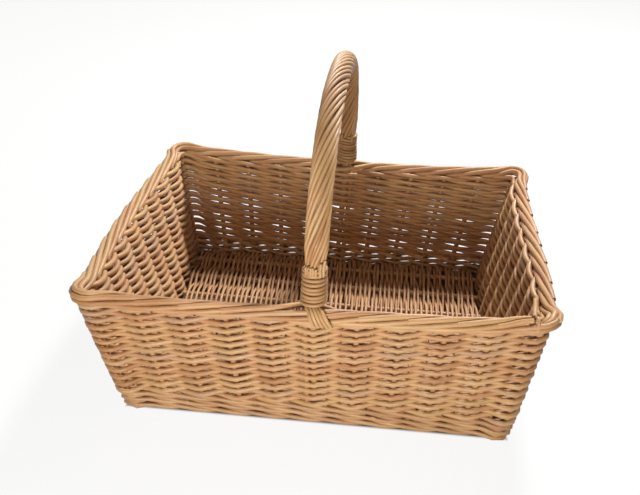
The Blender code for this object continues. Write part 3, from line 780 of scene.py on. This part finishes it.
# Base: sticks from end to end, and thin rods from front to back over and under them
base = {
    "seed": 21, "rods": 118, "rodD": 3.5 * mm, "steps": 7, "stickSteps": 40, "intoWale": 1.5 * mm,
    "slant": 1.2 * mm, "lean": 0.45 * mm, "endReach": 0.35, "unevenGirth": 0.16,
    "layStick": {"sides": 10, "wander": 0.5 * mm, "swelling": 0.08, "seed": 4.0},
    "lay": {"sides": 7, "wander": 0.5 * mm, "swelling": 0.06, "seed": 6.0},
}
stickBoxes = [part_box(n) for n in sorted(nodes) if n.startswith("base_stick_")]
stickYs = [(low[1] + high[1]) / 2 for low, high in stickBoxes]
stickZ = (stickBoxes[0][0][2] + stickBoxes[0][1][2]) / 2
stickD = stickBoxes[0][1][2] - stickBoxes[0][0][2]
stickReach = stickBoxes[0][1][0]
baseLow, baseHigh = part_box("base_weave")


def stickRods():
    dice = np.random.default_rng(base["seed"])
    for y in stickYs:
        path = [Vector((-stickReach + 2 * stickReach * k / base["stickSteps"], y, stickZ))
                for k in range(base["stickSteps"] + 1)]
        yield path, stickD / 2, dice.random()


def baseRods():
    dice = np.random.default_rng(base["seed"] + 1)
    swing = stickD / 2 + base["rodD"] / 2
    crossings = [baseLow[1] - base["intoWale"]] + stickYs + [baseHigh[1] + base["intoWale"]]
    halfX = baseHigh[0]
    for k in range(base["rods"]):
        x = -halfX + 2 * halfX * (k + 0.5) / base["rods"]
        over = 1 if k % 2 else -1
        slant = base["slant"] * dice.normal()
        marks = []
        for j, y in enumerate(crossings):
            side = over * (1 if j % 2 else -1)
            lean = base["lean"] * dice.normal() + slant * (y / baseHigh[1])
            reach = base["endReach"] if j in (0, len(crossings) - 1) else 1.0
            marks.append((x + lean, y, side * reach))
        path = []
        for (xa, ya, sa), (xb, yb, sb) in zip(marks, marks[1:]):
            for t in evenShares(base["steps"])[:-1]:
                ease = (1 - math.cos(math.pi * t)) / 2
                height = stickZ + swing * between(sa, sb, ease)
                path.append(Vector((between(xa, xb, ease), between(ya, yb, t), height)))
        path.append(Vector((marks[-1][0], marks[-1][1], stickZ + swing * marks[-1][2])))
        size = 1 + base["unevenGirth"] * (dice.random() - 0.5)
        yield path, base["rodD"] / 2 * size, dice.random()


stickPiece = layRods("baseSticks", stickRods(), "base", base["layStick"])
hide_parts(*[n for n in nodes if n.startswith("base_stick_")])
basePiece = layRods("baseWeave", baseRods(), "base", base["lay"])
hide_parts("base_weave")

# Handle: the bow, the rods wound round it, a lapping and a tie at each foot
handle = {
    "seed": 31, "rods": 12, "rodD": 4.1 * mm, "turns": 3.4, "stations": 150,
    "unevenGaps": 0.10, "unevenGirth": 0.26, "easeIn": 20 * mm, "underLapping": 1 * mm,
    "layWinding": {"sides": 10, "wander": 1.1 * mm, "swelling": 0.07, "seed": 5.0},
}
bow = {"tipZ": 30 * mm, "tipR": 3.1 * mm, "thickening": 1.5 * mm, "footR": 4.6 * mm, "footSteps": 6,
       "steps": 60, "tone": 0.3, "lay": {"sides": 16, "seed": 1.0}}
lapping = {
    "acrossFoot": 28 * mm, "acrossTop": 25.4 * mm, "rodD": 3.8 * mm, "turns": 9, "perTurn": 28,
    "start": 12.4 * mm, "length": 42 * mm, "uneven": 0.35 * mm, "clear": 0.3 * mm,
    "lay": {"sides": 10, "wander": 0.5 * mm, "wanderLength": 20 * mm, "swelling": 0.1, "seed": 8.0},
}


# A point round the bow: so far along it, turned from the outside to the right, and so far out
def roundBow(distance, angle, reach):
    point, away, side = alongArch(distance)
    return point + (away * math.cos(angle) + side * math.sin(angle)) * reach


# The winding's outer radius, drawn in where it goes under a lapping
def woundRadius(distance):
    near = min(distance, archLength - distance)
    inner = lapping["acrossFoot"] / 2 - lapping["rodD"] - lapping["clear"]
    share = min(max((near - lapping["start"] - lapping["length"]) / handle["easeIn"], 0.0), 1.0)
    return between(inner, form["handleD"] / 2, share)


def windingRods():
    dice = np.random.default_rng(handle["seed"])
    start = lapping["start"] - handle["underLapping"]
    length = archLength - 2 * start
    for k in range(handle["rods"]):
        path = []
        radii = []
        offset = handle["unevenGaps"] * dice.normal()
        size = 1 + handle["unevenGirth"] * (dice.random() - 0.5)
        for share in evenShares(handle["stations"]):
            distance = start + length * share
            angle = 2 * math.pi * (handle["turns"] * share + (k + offset) / handle["rods"])
            outer = woundRadius(distance)
            girth = handle["rodD"] * size * min(1.0, outer / (form["handleD"] / 2))
            path.append(roundBow(distance, angle, outer - girth / 2))
            radii.append(girth / 2)
        yield path, radii, dice.random()


# The bow's thinned ends go down inside the walls, beside the middle stakes
def bowRods():
    shares = evenShares(bow["footSteps"])[:-1]
    heights = [between(bow["tipZ"], archFootZ, share) for share in shares]
    path = [wallPoint(0.0, z) for z in heights]
    ends = [bow["tipR"] + bow["thickening"] * share for share in shares]
    radii = list(ends)
    for k in range(bow["steps"] + 1):
        distance = archLength * k / bow["steps"]
        share = min(1.0, min(distance, archLength - distance) / lapping["start"])
        path.append(alongArch(distance)[0])
        radii.append(between(bow["footR"], form["bowD"] / 2, share))
    path += [wallPoint(back, z) for z in heights[::-1]]
    radii += ends[::-1]
    yield path, radii, bow["tone"]


# One rod coiled up the foot, its turns a little uneven both along and across
def lappingRods(mirrored, shade, seed):
    dice = np.random.default_rng(seed)
    path = []
    count = lapping["turns"] * lapping["perTurn"]
    uneven = dice.normal(0.0, lapping["uneven"], (2, lapping["turns"] * 2 + 2))
    knots = np.linspace(0.0, 1.0, uneven.shape[1])
    for k in range(count + 1):
        share = k / count
        climb = (lapping["length"] - lapping["rodD"]) * share + np.interp(share, knots, uneven[0])
        distance = lapping["start"] + lapping["rodD"] / 2 + climb
        across = between(lapping["acrossFoot"], lapping["acrossTop"], share)
        coil = (across - lapping["rodD"]) / 2 - abs(np.interp(share, knots, uneven[1]))
        path.append(roundBow(archLength - distance if mirrored else distance,
                             2 * math.pi * k / lapping["perTurn"], coil))
    yield path, lapping["rodD"] / 2, shade


# Short cut ends that stand out of the top of the lapping. Each rod is its angle round the bow in
# degrees, with 180 to the front, and its length and diameter in mm.
endsAbove = {
    "seed": 33, "depth": 8 * mm, "steps": 5, "lean": 4, "sunk": 0.2 * mm, "tip": 0.86,
    "tone": 0.35, "toneSpread": 0.6,
    "rods": ((134, 0.5, 2.9), (148, 1.2, 2.8), (162, 0.4, 3.0), (175, 1.0, 2.8), (188, 0.2, 2.9),
             (211, 6, 3.5), (229, 7, 3.5), (40, 2, 3.0), (-30, 2, 3.0)),
}


def rodEnds(mirrored):
    dice = np.random.default_rng(endsAbove["seed"])
    bottom = lapping["start"] + lapping["length"] - endsAbove["depth"]
    for angle, length, diameter in endsAbove["rods"]:
        radius = diameter / 2 * mm
        path = []
        for share in evenShares(endsAbove["steps"]):
            distance = bottom + (endsAbove["depth"] + length * mm) * share
            turned = math.radians(angle + endsAbove["lean"] * dice.normal() * share)
            path.append(roundBow(archLength - distance if mirrored else distance, turned,
                                 woundRadius(distance) + radius - endsAbove["sunk"]))
        radii = [radius] * endsAbove["steps"] + [radius * endsAbove["tip"]]
        yield path, radii, endsAbove["tone"] + endsAbove["toneSpread"] * dice.random()


bowPiece = layRods("handleBow", bowRods(), "handle", bow["lay"])
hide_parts("handle_bow")
windingPiece = layRods("handleWinding", windingRods(), "handle", handle["layWinding"])
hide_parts(*[n for n in nodes if n.startswith("handle_band_")])
for name, node, mirrored, shade, seed in (("frontLapping", "front_lapping", False, 0.35, 51),
                                          ("backLapping", "back_lapping", True, 0.6, 52)):
    piece = layRods(name, [*lappingRods(mirrored, shade, seed), *rodEnds(mirrored)], "lapping",
                    lapping["lay"])
    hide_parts(node)

# Ties: rods side by side from the lapping over the border
tie = {"rods": 5, "rodD": 3.6 * mm, "from": math.radians(101), "to": math.radians(-26),
       "slant": 11.5 * mm, "fan": (0.86, 1.2), "sunk": 0.9 * mm, "steps": 14, "tone": 0.4,
       "toneSpread": 0.4, "lay": {"sides": 10, "wander": 0.3 * mm, "seed": 9.0}}


def tieRods(middle, seed):
    dice = np.random.default_rng(seed)
    radius = borderHalf + tie["rodD"] / 2 - tie["sunk"]
    for k in range(tie["rods"]):
        path = []
        beside = (k - (tie["rods"] - 1) / 2) * tie["rodD"]
        for share in evenShares(tie["steps"]):
            angle = between(tie["from"], tie["to"], share)
            fan = between(*tie["fan"], share)
            path.append(rimPoint(middle + (beside * fan - tie["slant"] * share) / longSpacing,
                                 form["borderOut"] + outerPush + radius * math.cos(angle),
                                 radius * math.sin(angle)))
        tone = tie["tone"] + tie["toneSpread"] * dice.random()
        yield path, tie["rodD"] / 2, tone


for name, node, middle, seed in (("frontTie", "front_tie", 0.0, 41),
                                 ("backTie", "back_tie", back, 42)):
    piece = layRods(name, tieRods(middle, seed), "handle", tie["lay"])
    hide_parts(node)

# Stage: a white floor that keeps the basket's shadow, with painted shade on the paper under the
# basket
studio = {
    "sky": 0.16, "ground": 0.02, "skyTone": "#FFDDB8", "skyFrom": -0.1, "skyTo": 0.8,
    "lamps": (("keyLamp", 52.0, (0.42, 1.12, 1.55), 0.30),
              ("fillLamp", 5.9, (-0.04, -0.86, 0.25), 0.20)),
    "litPoint": (0, 0, 0.08),
    "floorHalf": 6.0, "paper": 0.85, "paperBounce": 0.35, "paperWhite": 0.88, "paperRoughness": 0.9,
    # the dark brown of the painted shade on the paper under the basket
    "paintedShadeTone": "#7A6450",
    "sideEdge": (0.2045, 0.2085), "frontEdge": (0.170, 0.174), "backEdge": (0.185, 0.225),
}


# 1 where the camera looks straight at the material, or by way of glass or metal
def seenPlainly(tree, rays):
    seen = addNode(tree, "ShaderNodeMath", {
        0: rays.outputs["Is Camera Ray"], 1: rays.outputs["Is Glossy Ray"]}, operation="MAXIMUM")
    return addNode(tree, "ShaderNodeMath", {
        0: seen, 1: rays.outputs["Is Transmission Ray"]}, operation="MAXIMUM")


# Matt white paper. To the camera it is lifted towards white round the basket. Under the basket it
# is painted dark brown as painted shade, and has only the real light, so it stays dark between the
# rods.
def floorMaterial():
    material, tree, shader = newMaterial("whitePaperFloor")
    glow = addNode(tree, "ShaderNodeEmission", {"Color": (1, 1, 1, 1), "Strength": 1.0})
    rays = addNode(tree, "ShaderNodeLightPath")

    # how far past each edge of the basket's foot the paper lies, from 0 to 1
    place = addNode(tree, "ShaderNodeTexCoord")
    apart = addNode(tree, "ShaderNodeSeparateXYZ", {0: place.outputs["Object"]})
    aside = addNode(tree, "ShaderNodeMath", {0: apart.outputs["X"]}, operation="ABSOLUTE")
    forward = addNode(tree, "ShaderNodeMath", {
        0: apart.outputs["Y"], 1: -1.0}, operation="MULTIPLY")
    past = {}
    for name, source, edge in (("side", aside, "sideEdge"),
                               ("front", forward, "frontEdge"),
                               ("back", apart.outputs["Y"], "backEdge"),
                               ("foot", apart.outputs["Y"], "frontEdge")):
        past[name] = addNode(tree, "ShaderNodeMapRange", {
            "Value": source, "From Min": studio[edge][0], "From Max": studio[edge][1]})
    for name, first, second in (("sideOrFront", "side", "front"),
                                ("outside", "sideOrFront", "back"),
                                ("pastPaintedShade", "sideOrFront", "foot")):
        past[name] = addNode(tree, "ShaderNodeMath", {
            0: past[first], 1: past[second]}, operation="MAXIMUM")

    bright = addNode(tree, "ShaderNodeMath", {
        0: rays.outputs["Is Camera Ray"], 1: past["outside"]}, operation="MULTIPLY")
    grey = addNode(tree, "ShaderNodeMapRange", {
        "Value": bright, "To Min": studio["paperBounce"], "To Max": studio["paper"]})
    # painted shade: inside the basket's foot the paper takes the dark brown tone in place of its
    # white
    paintedShadeOrPaper = addNode(tree, "ShaderNodeMix", {
        0: past["pastPaintedShade"], 6: hexColour(studio["paintedShadeTone"]), 7: grey}, data_type="RGBA")
    giveInputs(tree, shader, {
        "Base Color": paintedShadeOrPaper.outputs[2], "Roughness": studio["paperRoughness"]})
    lifted = addNode(tree, "ShaderNodeMath", {
        0: seenPlainly(tree, rays), 1: past["outside"]}, operation="MULTIPLY")
    share = addNode(tree, "ShaderNodeMath", {
        0: lifted, 1: studio["paperWhite"]}, operation="MULTIPLY")
    mixed = addNode(tree, "ShaderNodeMixShader", {0: share, 1: shader, 2: glow})
    giveInputs(tree, tree.nodes["Material Output"], {"Surface": mixed})
    return material


def makeFloor():
    mesh = bpy.data.meshes.new("floor")
    half = studio["floorHalf"]
    mesh.from_pydata([(-half, -half, 0), (half, -half, 0), (half, half, 0), (-half, half, 0)], [],
                     [(0, 1, 2, 3)])
    mesh.materials.append(floorMaterial())
    floor = addObject("floor", mesh)


def makeWorld():
    world = bpy.data.worlds.new("studio")
    bpy.context.scene.world = world
    world.use_nodes = True
    tree = world.node_tree
    plain = tree.nodes["Background"]

    # a weak warm sky, brightest overhead, and plain white where the camera sees it
    facing = addNode(tree, "ShaderNodeNewGeometry")
    height = addNode(tree, "ShaderNodeSeparateXYZ", {0: facing.outputs["Position"]})
    strength = addNode(tree, "ShaderNodeMapRange", {
        "Value": height.outputs["Z"], "From Min": studio["skyFrom"], "From Max": studio["skyTo"],
        "To Min": studio["ground"], "To Max": studio["sky"]}, interpolation_type="SMOOTHSTEP")
    giveInputs(tree, plain, {"Color": hexColour(studio["skyTone"]), "Strength": strength})
    white = addNode(tree, "ShaderNodeBackground", {"Color": (1, 1, 1, 1), "Strength": 1.0})
    rays = addNode(tree, "ShaderNodeLightPath")
    mixed = addNode(tree, "ShaderNodeMixShader", {0: seenPlainly(tree, rays), 1: plain, 2: white})
    giveInputs(tree, tree.nodes["World Output"], {"Surface": mixed})


def addLamp(name, power, place, size):
    lamp = bpy.data.lights.new(name, "AREA")
    lamp.energy = power
    lamp.size = size
    item = addObject(name, lamp)
    item.location = place
    towards = Vector(studio["litPoint"]) - Vector(place)
    item.rotation_euler = towards.to_track_quat("-Z", "Y").to_euler()


makeFloor()
makeWorld()
for name, power, place, size in studio["lamps"]:
    addLamp(name, power, place, size)
print("stage set")

# Camera: solved from the rim, base and handle corners in the picture
shot = {"focalPixels": 836.7, "imageWidth": 640, "sensor": 36.0, "at": (0.0456, -0.8603, 0.6141),
        "yaw": 3.917, "pitch": 29.863, "roll": 2.48}


def makeCamera():
    yaw, pitch, roll = [math.radians(shot[key]) for key in ("yaw", "pitch", "roll")]
    level = Vector((math.cos(yaw), math.sin(yaw), 0.0))
    ahead = Vector((-math.sin(yaw), math.cos(yaw), 0.0))
    forward = ahead * math.cos(pitch) - Vector((0.0, 0.0, math.sin(pitch)))
    upright = level.cross(forward)
    right = level * math.cos(roll) + upright * math.sin(roll)
    up = upright * math.cos(roll) - level * math.sin(roll)
    data = bpy.data.cameras.new("camera")
    data.sensor_width = shot["sensor"]
    data.lens = shot["focalPixels"] / shot["imageWidth"] * shot["sensor"]
    camera = addObject("camera", data)
    axes = Matrix((right, up, -forward)).transposed().to_4x4()
    camera.matrix_world = Matrix.Translation(shot["at"]) @ axes
    bpy.context.scene.camera = camera


makeCamera()
bpy.context.scene.view_settings.view_transform = "Standard"
print("camera placed")
